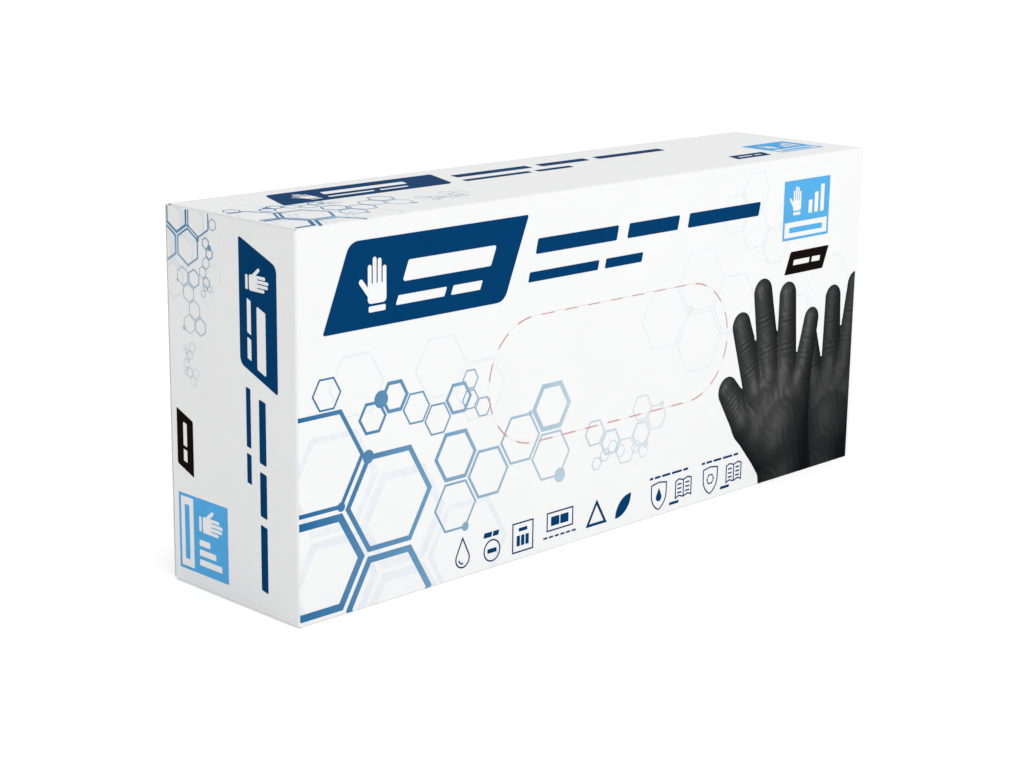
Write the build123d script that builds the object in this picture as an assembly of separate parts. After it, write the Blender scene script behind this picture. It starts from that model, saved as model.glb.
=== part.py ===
from build123d import *
import os
from math import cos, pi, radians, sin, tan

# Tuck-end dispenser carton of folded paperboard, standing on a long narrow side, with a
# tear-out tab over its dispensing window and a stack of one hundred thin gloves inside.
# +X runs along the box, the front panel faces -Y, +Z is up, and the origin is the
# middle of the footprint. Millimetres and degrees.

# ---- the carton
box_length = 240.0
box_depth = 54.0
box_height = 105.0
board = 0.45
fold_radius = 0.9
half_fold = 45.0
end_trim = 0.5

# ---- the tear-out tab and its perforated line
window_length = 104.0
window_height = 37.0
window_centre_height = 52.5
perforation_gap = 0.05
slit_length = 5.2
slit_depth = 0.2
slit_pitch = 9.6

# ---- the tuck flaps and the dust flaps at both ends
tuck_clearance = 0.3
tuck_length = 12.0
tuck_lean = 13.0
tuck_trim = 5.0
tuck_corner_radius = 8.0
dust_layer_gap = 0.15
dust_length = 34.0
dust_inset = 1.0
dust_back_inset = 1.7
dust_taper = 30.0
dust_shoulder = 4.5
dust_tuck_clearance = 0.8
dust_corner_radius = 5.0

# ---- the seam under the bottom panel's back edge
glue_flap_width = 14.0
glue_flap_trim = 3.0
glue_flap_taper = 4.0
seam_setback = 0.4

# ---- the gloves, each lying flat as two layers of film
glove_count = 100
bundle_count = 10
glove_film = 0.08
glove_pitch = 0.43
glove_length = 230.0
hand_length = 148.0
hand_width = 78.0
finger_width = 18.0
finger_reaches = (56.0, 74.0, 82.0, 72.0)
finger_root = 16.0
thumb_width = 20.0
thumb_length = 62.0
thumb_angle = 22.0
thumb_root_back = 52.0
seat_clearance = 0.3

# ---- what follows from them
half_length = box_length / 2
half_depth = box_depth / 2
gloves_per_bundle = glove_count // bundle_count
window_top = window_centre_height + window_height / 2
tuck_face_y = half_depth - board - tuck_clearance
tuck_turn = 90.0 + tuck_lean
dust_face_x = half_length - board - dust_layer_gap
dust_front_y = -half_depth + dust_inset
dust_back_y = half_depth - dust_back_inset
tuck_reach = (fold_radius - (fold_radius - board) * cos(radians(tuck_lean))
              + tuck_length * sin(radians(tuck_lean)))
stack_back_y = tuck_face_y - tuck_reach - seat_clearance
stack_floor = 2 * board + seat_clearance


def ring_sector(turn):
    """Section of a crease: board bent by turn about the origin, starting straight below it."""
    outer = CenterArc((0, 0), fold_radius, -90, turn)
    inner = CenterArc((0, 0), fold_radius - board, -90, turn)
    return make_face([outer, inner, Line(outer @ 0, inner @ 0), Line(outer @ 1, inner @ 1)])


def folded_board(origin, along, across, flat, width, start_turn=0.0, end_turn=0.0):
    """A strip of board: flat along one way and as wide as width across, with part of a
    crease at either end. Its outer face passes through origin."""
    profile = Pos(flat / 2, board / 2) * Rectangle(flat, board)
    if end_turn:
        profile += Pos(flat, fold_radius) * ring_sector(end_turn)
    if start_turn:
        profile += Pos(0, fold_radius) * mirror(ring_sector(start_turn), about=Plane.YZ)
    return Plane(origin=origin, x_dir=along, z_dir=across) * extrude(profile, width)


def rounded_box(inset, radius):
    """The carton's outline, inset on every side, with rounded edges."""
    height = box_height - 2 * inset
    block = Box(box_length - 2 * inset, box_depth - 2 * inset, height)
    return Pos(0, 0, box_height / 2) * fillet(block.edges(), radius)


def front_side_view(sketch, depth, face_y=-half_depth):
    """Extrudes a sketch, drawn as X across and Z up, from a plane facing front into the box."""
    return Plane(origin=(0, face_y, 0), x_dir=(1, 0, 0), z_dir=(0, -1, 0)) * extrude(sketch, -depth)


def front_panel():
    """The large front face with half of each crease round it and the dispensing window."""
    shell = rounded_box(0, fold_radius) - rounded_box(board, fold_radius - board)
    deep = fold_radius
    across_z = Polyline(
        (-half_depth, 0), (-half_depth, box_height),
        (-half_depth + deep, box_height - deep), (-half_depth + deep, deep), close=True)
    across_x = Polyline(
        (-half_length, -half_depth), (half_length, -half_depth),
        (half_length - deep, -half_depth + deep), (-half_length + deep, -half_depth + deep), close=True)
    side = Plane(origin=(-half_length, 0, 0), x_dir=(0, 1, 0), z_dir=(1, 0, 0))
    panel = shell & side * extrude(make_face(across_z), box_length)
    panel = panel & extrude(make_face(across_x), box_height)
    window = Pos(0, window_centre_height) * SlotOverall(window_length, window_height)
    return panel - front_side_view(window, board)


def tear_out_tab():
    """The tab that fills the window. Shallow slots round its edge are the cuts of the
    perforated line, and the lands between them reach the window's edge."""
    centre = Pos(0, window_centre_height)
    length = window_length - 2 * perforation_gap
    height = window_height - 2 * perforation_gap
    radius = height / 2
    straight = length - height
    outline = SlotOverall(length, height)
    straight_cuts = max(1, round(straight / slit_pitch))
    edges = GridLocations(straight / straight_cuts, height, straight_cuts, 2)
    outline -= edges * Rectangle(slit_length, 2 * slit_depth)
    arc_cuts = max(1, round(pi * radius / slit_pitch))
    step = 180.0 / arc_cuts
    sweep = slit_length / radius * 180.0 / pi
    for index in range(arc_cuts):
        middle = -90.0 + (index + 0.5) * step
        for side, turned in ((1, middle), (-1, 180.0 - middle)):
            outline -= Pos(side * straight / 2, 0) * rim_cut(radius, turned, sweep)
    return front_side_view(centre * outline, board)


def rim_cut(radius, middle, sweep):
    """Section of one cut on a round end of the tab."""
    outer = CenterArc((0, 0), radius + slit_depth, middle - sweep / 2, sweep)
    inner = CenterArc((0, 0), radius - slit_depth, middle - sweep / 2, sweep)
    return make_face([outer, inner, Line(outer @ 0, inner @ 0), Line(outer @ 1, inner @ 1)])


def lid_strip(flat_length, back_fold):
    """The top panel's strip, upside down for the bottom: a flat with the front crease."""
    width = 2 * (dust_face_x - board)
    return folded_board((width / 2, -half_depth + fold_radius, box_height), (0, 1, 0), (-1, 0, 0),
                        flat_length, width, start_turn=half_fold, end_turn=back_fold)


def dust_creases(panel):
    """Adds half of each dust flap's crease to both ends of the top panel."""
    start_x = dust_face_x - fold_radius
    width = dust_back_y - dust_front_y
    notch = Pos(start_x, dust_front_y, box_height - fold_radius) * Box(
        fold_radius, width, 2 * fold_radius, align=(Align.MIN, Align.MIN, Align.MIN))
    crease = folded_board((start_x - board, dust_front_y, box_height), (1, 0, 0), (0, 1, 0),
                          board, width, end_turn=half_fold)
    for end in (notch, mirror(notch, about=Plane.YZ)):
        panel -= end
    return panel + crease + mirror(crease, about=Plane.YZ)


def top_panel():
    """The narrow top face."""
    return dust_creases(lid_strip(box_depth - 2 * fold_radius, half_fold))


def bottom_panel():
    """The narrow bottom face. Its back edge is a cut edge, glued under the seam flap."""
    flat_length = box_depth - fold_radius - seam_setback
    return flipped(dust_creases(lid_strip(flat_length, 0.0)))


def flipped(shape):
    """The same piece at the other end of the carton's height."""
    return mirror(shape, about=Plane.XY.offset(box_height / 2))


def back_panel():
    """The large back face, from the top crease down to the crease of the glue flap."""
    height = box_height - 2 * fold_radius - board
    return folded_board((-half_length, half_depth, fold_radius + board), (0, 0, 1), (1, 0, 0),
                        height, box_length, start_turn=half_fold, end_turn=half_fold)


def glue_flap():
    """The seam flap along the back panel's foot, glued on the inside of the bottom panel."""
    reach = half_length - glue_flap_trim
    flap = folded_board((reach, half_depth - fold_radius, board), (0, -1, 0), (-1, 0, 0),
                        glue_flap_width, 2 * reach, start_turn=half_fold)
    back_y = half_depth
    tip_y = half_depth - fold_radius - glue_flap_width
    outline = Polyline((-reach, back_y), (reach, back_y), (reach - glue_flap_taper, tip_y),
                       (glue_flap_taper - reach, tip_y), close=True)
    return flap & extrude(make_face(outline), 2 * fold_radius + board)


def closure_panel():
    """The left end panel, hinged on the front panel, with half of both its creases."""
    flat_length = tuck_face_y + half_depth - 2 * fold_radius
    panel = folded_board((-half_length, -half_depth + fold_radius, box_height - end_trim),
                         (0, 1, 0), (0, 0, -1), flat_length, box_height - 2 * end_trim,
                         start_turn=half_fold, end_turn=half_fold)
    return panel & rounded_box(0, fold_radius)


def tuck_flap():
    """The left end panel's lip, which leans in from the back panel so that it swings clear."""
    along = (sin(radians(tuck_turn)), cos(radians(tuck_turn)), 0)
    inward = (along[1], -along[0])
    origin = (-half_length + fold_radius - fold_radius * inward[0],
              tuck_face_y - fold_radius - fold_radius * inward[1], box_height - tuck_trim)
    height = box_height - 2 * tuck_trim
    flap = folded_board(origin, along, (0, 0, -1), tuck_length, height,
                        start_turn=tuck_turn - half_fold)
    reach = fold_radius + tuck_length
    outline = Pos(-half_length, box_height / 2) * Rectangle(2 * reach, height)
    outline = fillet(outline.vertices(), tuck_corner_radius)
    return flap & front_side_view(outline, box_depth)


def dust_flap():
    """The left end's top dust flap, tapered on its front side and stepped on its back side."""
    width = dust_back_y - dust_front_y
    flap = folded_board((-dust_face_x, dust_back_y, box_height - fold_radius), (0, 0, -1),
                        (0, -1, 0), dust_length - fold_radius, width, start_turn=half_fold)
    tip_z = box_height - dust_length
    shoulder_z = box_height - dust_shoulder
    taper_z = box_height - fold_radius
    tip_front_y = dust_front_y + (taper_z - tip_z) * tan(radians(dust_taper))
    tip_back_y = tuck_face_y - tuck_reach - dust_tuck_clearance
    outline = make_face(Polyline(
        (dust_front_y, box_height), (dust_back_y, box_height), (dust_back_y, shoulder_z),
        (tip_back_y, shoulder_z), (tip_back_y, tip_z), (tip_front_y, tip_z),
        (dust_front_y, taper_z), close=True))
    tips = outline.vertices().group_by(Axis.Y)[0]
    outline = fillet(tips, dust_corner_radius)
    side = Plane(origin=(-half_length, 0, 0), x_dir=(0, 1, 0), z_dir=(1, 0, 0))
    return flap & side * extrude(outline, 2 * fold_radius + board)


def glove_outline():
    """A flat glove, fingers towards +X and thumb up, centred on its own box."""
    back_x = -glove_length / 2
    palm_x = back_x + hand_length
    outline = Pos(back_x + hand_length / 2, hand_width / 2) * Rectangle(hand_length, hand_width)
    spacing = (hand_width - finger_width) / (len(finger_reaches) - 1)
    for index, reach in enumerate(finger_reaches):
        middle = Pos(palm_x + (reach - finger_root) / 2, finger_width / 2 + index * spacing)
        outline += middle * SlotOverall(reach + finger_root, finger_width)
    root = Pos(palm_x - thumb_root_back, hand_width - thumb_width / 2) * Rot(0, 0, thumb_angle)
    outline += root * Pos(thumb_length / 2, 0) * SlotCenterToCenter(thumb_length, thumb_width)
    box = outline.bounding_box()
    return Pos(0, -(box.min.Y + box.max.Y) / 2) * outline


def glove_stack():
    """Every glove, back to front, turned end for end and top to bottom in turn."""
    outline = glove_outline()
    sheet = extrude(outline, 2 * glove_film)
    height = outline.bounding_box().size.Y
    for index in range(glove_count):
        back_y = stack_back_y - index * glove_pitch
        turn = Rot(0, 0, 0) if index % 4 < 2 else Rot(180, 0, 0)
        swap = Rot(0, 180, 0) if index % 2 else Rot(0, 0, 0)
        place = Plane(origin=(0, back_y - glove_film, stack_floor + height / 2),
                      x_dir=(1, 0, 0), z_dir=(0, -1, 0))
        yield place.location * turn * swap * Pos(0, 0, -glove_film) * sheet


def save(shape, node):
    export_step(shape, f"parts/{node}.step")


def main():
    os.makedirs("parts", exist_ok=True)
    save(front_panel(), "front_panel")
    save(top_panel(), "top_panel")
    save(back_panel(), "back_panel")
    save(bottom_panel(), "bottom_panel")
    save(glue_flap(), "glue_flap")
    save(tear_out_tab(), "tear_out_tab")
    left_pieces = {
        "closure_panel": closure_panel(),
        "tuck_flap": tuck_flap(),
        "top_dust_flap": dust_flap(),
        "bottom_dust_flap": flipped(dust_flap()),
    }
    for name, piece in left_pieces.items():
        save(piece, f"left_{name}")
        save(mirror(piece, about=Plane.YZ), f"right_{name}")
    gloves = list(glove_stack())
    for bundle in range(bundle_count):
        first = bundle * gloves_per_bundle
        group = Compound(children=gloves[first:first + gloves_per_bundle])
        save(group, f"glove_bundle_{bundle + 1:02d}")


main()
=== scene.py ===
from collections import namedtuple
from math import atan2, cos, degrees, hypot, pi, radians, sin

import bpy
import numpy as np
from mathutils import Matrix, Vector
from mathutils.geometry import delaunay_2d_cdt


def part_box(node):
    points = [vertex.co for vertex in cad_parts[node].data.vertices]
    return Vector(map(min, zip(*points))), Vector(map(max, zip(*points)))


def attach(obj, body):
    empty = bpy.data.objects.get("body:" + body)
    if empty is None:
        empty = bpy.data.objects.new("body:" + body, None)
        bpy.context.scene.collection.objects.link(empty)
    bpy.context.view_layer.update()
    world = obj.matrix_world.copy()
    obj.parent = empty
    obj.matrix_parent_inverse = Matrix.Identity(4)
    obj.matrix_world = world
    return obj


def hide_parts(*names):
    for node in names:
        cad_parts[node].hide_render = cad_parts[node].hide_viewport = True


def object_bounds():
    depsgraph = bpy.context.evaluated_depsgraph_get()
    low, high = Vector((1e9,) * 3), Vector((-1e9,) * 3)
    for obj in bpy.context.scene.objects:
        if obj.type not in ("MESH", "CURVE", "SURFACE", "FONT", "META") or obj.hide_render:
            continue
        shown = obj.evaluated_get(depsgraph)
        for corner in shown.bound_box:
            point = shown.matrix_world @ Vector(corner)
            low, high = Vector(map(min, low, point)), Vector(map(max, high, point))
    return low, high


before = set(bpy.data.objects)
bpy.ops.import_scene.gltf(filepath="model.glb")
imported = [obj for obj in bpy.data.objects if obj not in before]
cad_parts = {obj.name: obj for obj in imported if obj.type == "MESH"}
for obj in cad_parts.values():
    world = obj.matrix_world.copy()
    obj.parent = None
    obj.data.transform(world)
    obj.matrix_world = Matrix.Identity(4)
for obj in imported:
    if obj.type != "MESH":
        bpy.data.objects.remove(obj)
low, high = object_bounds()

# Metres in the scene. Print is laid out in millimetres, from the lower left corner of each face.
MM = 0.001
LENGTH, DEPTH, HEIGHT = (high - low) / MM
TAB_LOW, TAB_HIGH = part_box("tear_out_tab")

# The folds' outer radius, and how far round them the print goes.
FOLD_RADIUS = 0.9
FOLD_PRINTED = 0.55

# One level of ink over the board, and how deep the foot of a plate of ink is sunk in it.
INK_LIFT = 0.02
INK_SUNK = 0.01
GHOST_LEVEL = 0
CELL_LEVEL = 1
TEXT_LEVEL = 2
DASH_LEVEL = 3
HINGE_LEVEL = 0.5

# How far slanted bars lean for each millimetre of height.
BLOCK_LEAN = 0.4
TEXT_LEAN = 0.22

# The tear line's dashes: how far out from the cut they start and end, on the sleeve and
# on the tab. The other print ends a little further out from it, or further in.
DASH_LENGTH = 5.2
DASH_PITCH = 9.6
DASH_OUTSIDE = (0.05, 0.12)
DASH_INSIDE = (-0.27, -0.01)
PRINT_ROUND_TAB = 0.15
PRINT_ON_TAB = -0.02

# Metres, degrees and millimetres of lens.
CAMERA_PLACE = (-0.4425, -0.4211, 0.1933)
CAMERA_AZIMUTH = -45.4
CAMERA_ELEVATION = 14.07
CAMERA_ROLL = 0.79
CAMERA_LENS = 73.0

# The stage, in metres and watts: for each light its name, place, size and power.
FLOOR_HALF = 6.0
FLOOR_GLOW = 0.18
LIGHTS = (
    ("key_front", (0.1, -1.6, 0.55), 1.2, 8.5),
    ("crease_light", (0.1, -0.35, 1.4), 1.0, 5.0),
)

WHITE = (0.623, 0.624, 0.626)
PLAIN_INKS = {
    "navy": (0.0006, 0.0325, 0.1035),
    "sky": (0.068, 0.300, 0.560),
    "black": (0.0055, 0.0032, 0.0027),
    "tear_line": (0.52, 0.28, 0.31),
    "ghost": (0.563, 0.587, 0.614),
    "grey": (0.245, 0.297, 0.353),
}
# The cells fade through these along a face.
CELL_BLUES = ((0.013, 0.098, 0.232), (0.10, 0.22, 0.345), (0.28, 0.38, 0.455), (0.48, 0.53, 0.57))
CELL_STOPS = (0.0, 0.3, 0.62, 1.0)
PICTURE_BLACKS = (
    (0.0040, 0.0050, 0.0050), (0.0155, 0.0185, 0.0180), (0.040, 0.040, 0.0395), (0.094, 0.089, 0.090),
)
PICTURE_STOPS = (0.0, 0.35, 0.7, 1.0)
FILM_BLACKS = ((0.008, 0.0085, 0.009), (0.016, 0.0165, 0.017))
INNER_GREYS = ((0.46, 0.445, 0.42), (0.57, 0.56, 0.54))
CUT_GREYS = ((0.64, 0.637, 0.632), (0.71, 0.71, 0.71))
FLOOR_WHITES = ((0.93, 0.93, 0.93), (0.95, 0.95, 0.95))

# The noise in the materials: the ranges of it that are used, and its waves per metre.
NOISE_RANGE = (0.3, 0.7)
FIBRE_RANGE = (0.35, 0.65)
CLOUD_SCALE = 55.0
FIBRE_SCALE = 1400.0
MOTTLE_SCALE = 260.0
GRAIN_SCALE = 900.0
CRUMPLE_SCALE = 110.0
SKIN_SCALE = 2600.0

BOARD_SPECULAR = 0.25
INK_SPECULAR = 0.003
FILM_SPECULAR = 0.42
INK_RELIEF = 0.05
INK_ROUGHNESS = (0.42, 0.52)
FIBRE_HEIGHT = 0.00008

Face = namedtuple("Face", "matrix body width height sides")
Region = namedtuple("Region", "outlines holds")
Comb = namedtuple("Comb", "pitch u v cells")
Layout = namedtuple("Layout", "scale block title label label_ink size_box")


# ---- materials

def shader(name):
    """A new node material, its object coordinates, a function that adds a node to it and
    gives one of the node's outputs, and one that fills its Principled shader's sockets."""
    material = bpy.data.materials.new(name)
    material.use_nodes = True
    tree = material.node_tree

    def fill(node, inputs):
        for socket, value in inputs.items():
            if isinstance(value, bpy.types.NodeSocket):
                tree.links.new(value, node.inputs[socket])
            else:
                node.inputs[socket].default_value = value

    def add(kind, inputs, output=0, **settings):
        node = tree.nodes.new(f"ShaderNode{kind}")
        for key, value in settings.items():
            setattr(node, key, value)
        fill(node, inputs)
        return node.outputs[output]

    def surface(inputs):
        fill(tree.nodes["Principled BSDF"], inputs)

    return material, add("TexCoord", {}, "Object"), add, surface


def noise(add, place, scale, detail=3.0, roughness=0.5, distortion=0.0):
    return add("TexNoise", {"Vector": place, "Scale": scale, "Detail": detail,
                            "Roughness": roughness, "Distortion": distortion})


def spread(add, value, low_out, high_out, low_in=NOISE_RANGE[0], high_in=NOISE_RANGE[1]):
    return add("MapRange", {"Value": value, "From Min": low_in, "From Max": high_in,
                            "To Min": low_out, "To Max": high_out})


def ramp(add, value, colours, places=NOISE_RANGE):
    """A ramp through the colours, each at its place."""
    colour = add("ValToRGB", {"Fac": value})
    elements = colour.node.color_ramp.elements
    while len(elements) < len(colours):
        elements.new(1.0)
    for element, position, tone in zip(elements, places, colours):
        element.position = position
        element.color = (*tone, 1.0)
    return colour


def maths(add, operation, first, second=0.0):
    return add("Math", {0: first, 1: second}, operation=operation)


def dot(add, first, second):
    return add("VectorMath", {0: first, 1: second}, "Value", operation="DOT_PRODUCT")


def mixed(add, share, first, second):
    return add("Mix", {0: share, 6: first, 7: second}, 2, data_type="RGBA")


def finish_board(add, surface, place, colour, rough, relief, specular):
    """Every board and ink material ends in this: the fibres stand out by a share of relief."""
    fibre = noise(add, place, FIBRE_SCALE, 4.0, 0.6)
    bump = add("Bump", {"Height": fibre, "Strength": relief, "Distance": FIBRE_HEIGHT})
    surface({"Base Color": colour, "Roughness": rough, "Normal": bump, "Specular IOR Level": specular})


def board_material(name, outward):
    """Coated white outside, fibrous grey inside and at the cut edges. outward is the way
    the printed side faces."""
    material, place, add, surface = shader(name)
    facing = dot(add, add("TexCoord", {}, "Normal"), outward)
    printed = spread(add, facing, 0.0, 1.0, 0.2, 0.4)
    inner = spread(add, facing, 1.0, 0.0, -0.4, -0.2)
    cloud = noise(add, place, CLOUD_SCALE, 2.0)
    fibre = noise(add, place, FIBRE_SCALE, 4.0, 0.6)
    white = ramp(add, cloud, (tuple(0.985 * tone for tone in WHITE), WHITE))
    grey = ramp(add, fibre, INNER_GREYS, FIBRE_RANGE)
    edge = ramp(add, fibre, CUT_GREYS, FIBRE_RANGE)
    colour = mixed(add, printed, mixed(add, inner, edge, grey), white)
    rough = add("Mix", {0: printed, 2: 0.9, 3: spread(add, cloud, 0.40, 0.48)})
    relief = spread(add, printed, 0.35, INK_RELIEF, 0.0, 1.0)
    finish_board(add, surface, place, colour, rough, relief, BOARD_SPECULAR)
    return material


def ink_material(name, colours, places=(0.0, 1.0), along=(1, 0, 0), start=0.0, end=1.0):
    """Printing ink on coated board, with a faint mottle. It runs through the colours from
    start to end, in metres of the row's frame, along one direction."""
    material, place, add, surface = shader(name)
    mottle = noise(add, place, MOTTLE_SCALE, 3.0, 0.6)
    wander = spread(add, noise(add, place, 40.0, 1.0), -0.004, 0.004)
    moved = maths(add, "ADD", dot(add, place, along), wander)
    base = ramp(add, spread(add, moved, 0.0, 1.0, start, end), colours, places)
    colour = add("HueSaturation", {"Color": base, "Value": spread(add, mottle, 0.96, 1.05)})
    rough = spread(add, mottle, *INK_ROUGHNESS)
    finish_board(add, surface, place, colour, rough, INK_RELIEF, INK_SPECULAR)
    return material


def picture_material():
    """The printed picture of gloves: its shading is the tone stored at each point."""
    material, place, add, surface = shader("ink_glove_picture")
    tone = add("Attribute", {}, "Fac", attribute_name="tone")
    grain = spread(add, noise(add, place, GRAIN_SCALE, 3.0, 0.6), -0.03, 0.03)
    colour = ramp(add, maths(add, "ADD", tone, grain), PICTURE_BLACKS, PICTURE_STOPS)
    rough = spread(add, grain, *INK_ROUGHNESS, -0.03, 0.03)
    finish_board(add, surface, place, colour, rough, INK_RELIEF, INK_SPECULAR)
    return material


def film_material():
    """Black nitrile: a soft sheen over fine creases and a grained skin."""
    material, place, add, surface = shader("nitrile_black")
    cloud = noise(add, place, 60.0, 3.0)
    stretched = add("VectorMath", {0: place, 1: (0.35, 1.0, 1.0)}, operation="MULTIPLY")
    crumple = noise(add, stretched, CRUMPLE_SCALE, 3.0, 0.5, 0.9)
    ridge = maths(add, "ABSOLUTE", maths(add, "SUBTRACT", crumple, 0.5))
    skin = noise(add, place, SKIN_SCALE, 2.0, 0.6)
    normal = add("Bump", {"Height": ridge, "Strength": 0.30, "Distance": 0.0012})
    normal = add("Bump", {"Height": skin, "Strength": 0.18, "Distance": 0.0001, "Normal": normal})
    surface({"Base Color": ramp(add, cloud, FILM_BLACKS), "Roughness": spread(add, cloud, 0.27, 0.36),
             "Normal": normal, "Specular IOR Level": FILM_SPECULAR})
    return material


def floor_material():
    material, place, add, surface = shader("floor_white")
    colour = ramp(add, noise(add, place, 3.0), FLOOR_WHITES)
    surface({"Base Color": colour, "Roughness": 0.8, "Specular IOR Level": 0.0,
             "Emission Color": (1, 1, 1, 1), "Emission Strength": FLOOR_GLOW})
    return material


# ---- flat shapes: loops of points, in millimetres on a face

def smooth_corners(points, radii, steps=7):
    """The loop with each corner rounded by its own radius."""
    loop = []
    count = len(points)
    for index, (corner, radius) in enumerate(zip(points, radii)):
        here = Vector(corner)
        if radius <= 0:
            loop.append(corner)
            continue
        to_last = (Vector(points[index - 1]) - here).normalized()
        to_next = (Vector(points[(index + 1) % count]) - here).normalized()
        half = to_last.angle(to_next) / 2
        reach = radius * cos(half) / sin(half)
        middle = here + (to_last + to_next).normalized() * radius / sin(half)
        start = here + to_last * reach - middle
        end = here + to_next * reach - middle
        swing = start.angle_signed(end)
        turns = [-swing * step / steps for step in range(steps + 1)]
        loop += [tuple(middle + Matrix.Rotation(turn, 2) @ start) for turn in turns]
    return loop


def slab(u, v, length, height, lean=0.0, radii=(0, 0, 0, 0)):
    """A slanted bar. Its top stands lean times its height further along than its foot."""
    shift = lean * height
    points = [(u, v), (u + length, v), (u + length + shift, v + height), (u + shift, v + height)]
    return smooth_corners(points, radii)


def box(u, v, width, height, radius=0.0):
    return slab(u, v, width, height, 0.0, (radius,) * 4)


def arc(u, v, radius, start, end, steps=12):
    """Points along an arc from start to end, in degrees."""
    turns = [radians(start + (end - start) * k / steps) for k in range(steps + 1)]
    return [(u + radius * cos(turn), v + radius * sin(turn)) for turn in turns]


def polygon(u, v, radius, sides=32, turn=0):
    return arc(u, v, radius, turn, turn + 360, sides)[:-1]


def capsule(start, end, radius, steps=8):
    """A bar with round ends."""
    way = degrees(atan2(end[1] - start[1], end[0] - start[0]))
    return (arc(*end, radius, way - 90, way + 90, steps)
            + arc(*start, radius, way + 90, way + 270, steps))


# At a sharp corner a line's edges stand out by no more than its half width over this.
SHARPEST = 0.35


def stroke(points, width, closed=True):
    """A line of even width along the points, as one four-sided loop for each run."""
    count = len(points)
    sides = []
    for index in range(count):
        here = Vector(points[index])
        ways = []
        if closed or index:
            ways.append((here - Vector(points[index - 1])).normalized())
        if closed or index < count - 1:
            ways.append((Vector(points[(index + 1) % count]) - here).normalized())
        along = sum(ways, Vector((0, 0))).normalized()
        across = Vector((-along.y, along.x))
        reach = width / 2 / max(SHARPEST, along.dot(ways[0]))
        sides.append((tuple(here + across * reach), tuple(here - across * reach)))
    following = sides[1:] + sides[:1] if closed else sides[1:]
    return [[left, right, next_right, next_left]
            for (left, right), (next_left, next_right) in zip(sides, following)]


def words(u, v, height, lengths, gap, lean=TEXT_LEAN):
    """A line of plain bars in the place of words."""
    loops = []
    for length in lengths:
        loops.append(slab(u, v, length, height, lean, (0.12 * height,) * 4))
        u += length + gap
    return loops


def hand(u, v, size):
    """A plain pictogram of a glove, size high, from its lower left corner."""
    def at(x, y):
        return u + x * size, v + y * size

    loops = [box(*at(0.20, 0.15), 0.44 * size, 0.36 * size, 0.08 * size),
             box(*at(0.22, 0.0), 0.40 * size, 0.11 * size, 0.03 * size)]
    for index, reach in enumerate((0.80, 0.93, 0.90, 0.76)):
        across = 0.249 + 0.114 * index
        loops.append(capsule(at(across, 0.36), at(across, reach), 0.047 * size))
    loops.append(capsule(at(0.27, 0.28), at(0.05, 0.56), 0.052 * size))
    return loops


def placed(points, u, v, size):
    """A shape one millimetre high, moved to (u, v) and enlarged."""
    return [(u + x * size, v + y * size) for x, y in points]


def turns_left(loop):
    """Whether the loop runs anticlockwise."""
    return sum(a[0] * b[1] - b[0] * a[1] for a, b in zip(loop, loop[1:] + loop[:1])) > 0


# ---- regions of a face

def print_limits(face, share=1.0):
    """Left, bottom, right and top of what is printed. A share of less than one leaves off
    the rest of the strip along each side."""
    left, bottom, right, top = (flat - share * FOLD_PRINTED if folded else flat + (1 - share) * FOLD_PRINTED
                                for flat, folded in face.sides)
    return left, bottom, face.width - right, face.height - top


def panel_region(face):
    """The whole printed face, with lines along which the ink bends into the creases."""
    outlines = []
    for step in range(4):
        left, bottom, right, top = print_limits(face, step / 3)
        outlines.append(box(left, bottom, right - left, top - bottom))
    left, bottom, right, top = print_limits(face)

    def holds(point):
        return left < point[0] < right and bottom < point[1] < top

    return Region(outlines, holds)


def tab_shape(grow=0.0):
    """The tear-out tab on the front: its two centres, their height and its radius."""
    radius = (TAB_HIGH.z - TAB_LOW.z) / MM / 2
    left = (TAB_LOW.x - low.x) / MM + radius
    right = (TAB_HIGH.x - low.x) / MM - radius
    return left, right, (TAB_LOW.z - low.z) / MM + radius, radius + grow


def on_tab(point, grow):
    """Whether the point is inside the tab's outline, moved out by grow."""
    left, right, middle, radius = tab_shape(grow)
    aside = max(left - point[0], point[0] - right, 0.0)
    return hypot(aside, point[1] - middle) < radius


def tab_outline(grow):
    left, right, middle, radius = tab_shape(grow)
    return arc(right, middle, radius, -90, 90, 40) + arc(left, middle, radius, 90, 270, 40)


def sleeve_region(face):
    panel = panel_region(face)
    return Region([*panel.outlines, tab_outline(PRINT_ROUND_TAB)],
                  lambda point: panel.holds(point) and not on_tab(point, PRINT_ROUND_TAB))


def tab_region():
    return Region([tab_outline(PRINT_ON_TAB)], lambda point: on_tab(point, PRINT_ON_TAB))


# ---- closed sheets

def new_object(name, data):
    made = bpy.data.objects.new(name, data)
    bpy.context.scene.collection.objects.link(made)
    return made


def only_used(cells):
    """The points that the cells use, and the cells with these points numbered anew."""
    used = sorted({k for cell in cells for k in cell})
    place = {k: index for index, k in enumerate(used)}
    return used, [tuple(place[k] for k in cell) for cell in cells]


def closed_sheet(front, back, cells):
    """Points and faces of a closed sheet: the cells on the front points, the same cells
    turned over on the back points, and a rim between them."""
    rim = {}
    for cell in cells:
        for start, end in zip(cell, cell[1:] + cell[:1]):
            if (end, start) in rim:
                del rim[end, start]
            else:
                rim[start, end] = True
    count = len(front)
    shapes = cells + [tuple(count + k for k in reversed(cell)) for cell in cells]
    shapes += [(end, start, count + start, count + end) for start, end in rim]
    return np.concatenate([front, back]), shapes


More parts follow.
